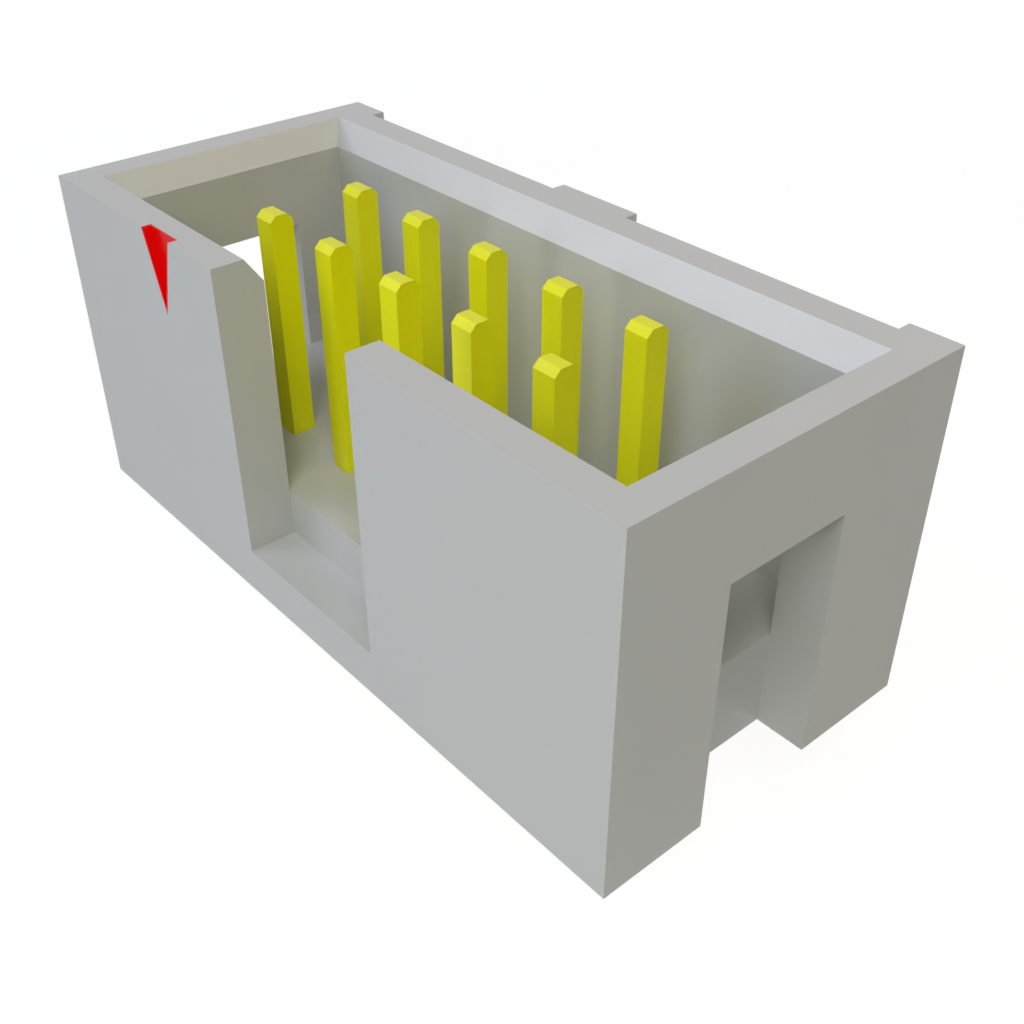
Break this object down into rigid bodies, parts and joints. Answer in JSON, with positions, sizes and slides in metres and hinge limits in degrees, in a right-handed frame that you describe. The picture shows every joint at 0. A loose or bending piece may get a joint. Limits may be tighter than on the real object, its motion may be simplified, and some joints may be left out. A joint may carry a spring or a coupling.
{
  "type": "right-angle pin header",
  "caption": "Shrouded right-angle pin header: a keyed rectangular socket round a grid of square pins whose tails bend towards the board side.",
  "frame": {"origin": "middle of the pin grid, on the socket's floor", "axes": "+Z out of the socket's mouth, +X along the rows away from pin 1, +Y towards the board that the standoffs sit on"},
  "size_m": [0.0204, 0.0124, 0.0135],
  "materials": {
    "moulded_plastic": "satin",
    "mark_paint": "satin",
    "pin_plating": "satin"
  },
  "bodies": {
    "root": {"housing": "moulded_plastic", "pin_1_mark": "mark_paint", "pin_1": "pin_plating", "pin_2": "pin_plating", "pin_3": "pin_plating", "pin_4": "pin_plating", "pin_5": "pin_plating", "pin_6": "pin_plating", "pin_7": "pin_plating", "pin_8": "pin_plating", "pin_9": "pin_plating", "pin_10": "pin_plating"}
  },
  "joints": []
}
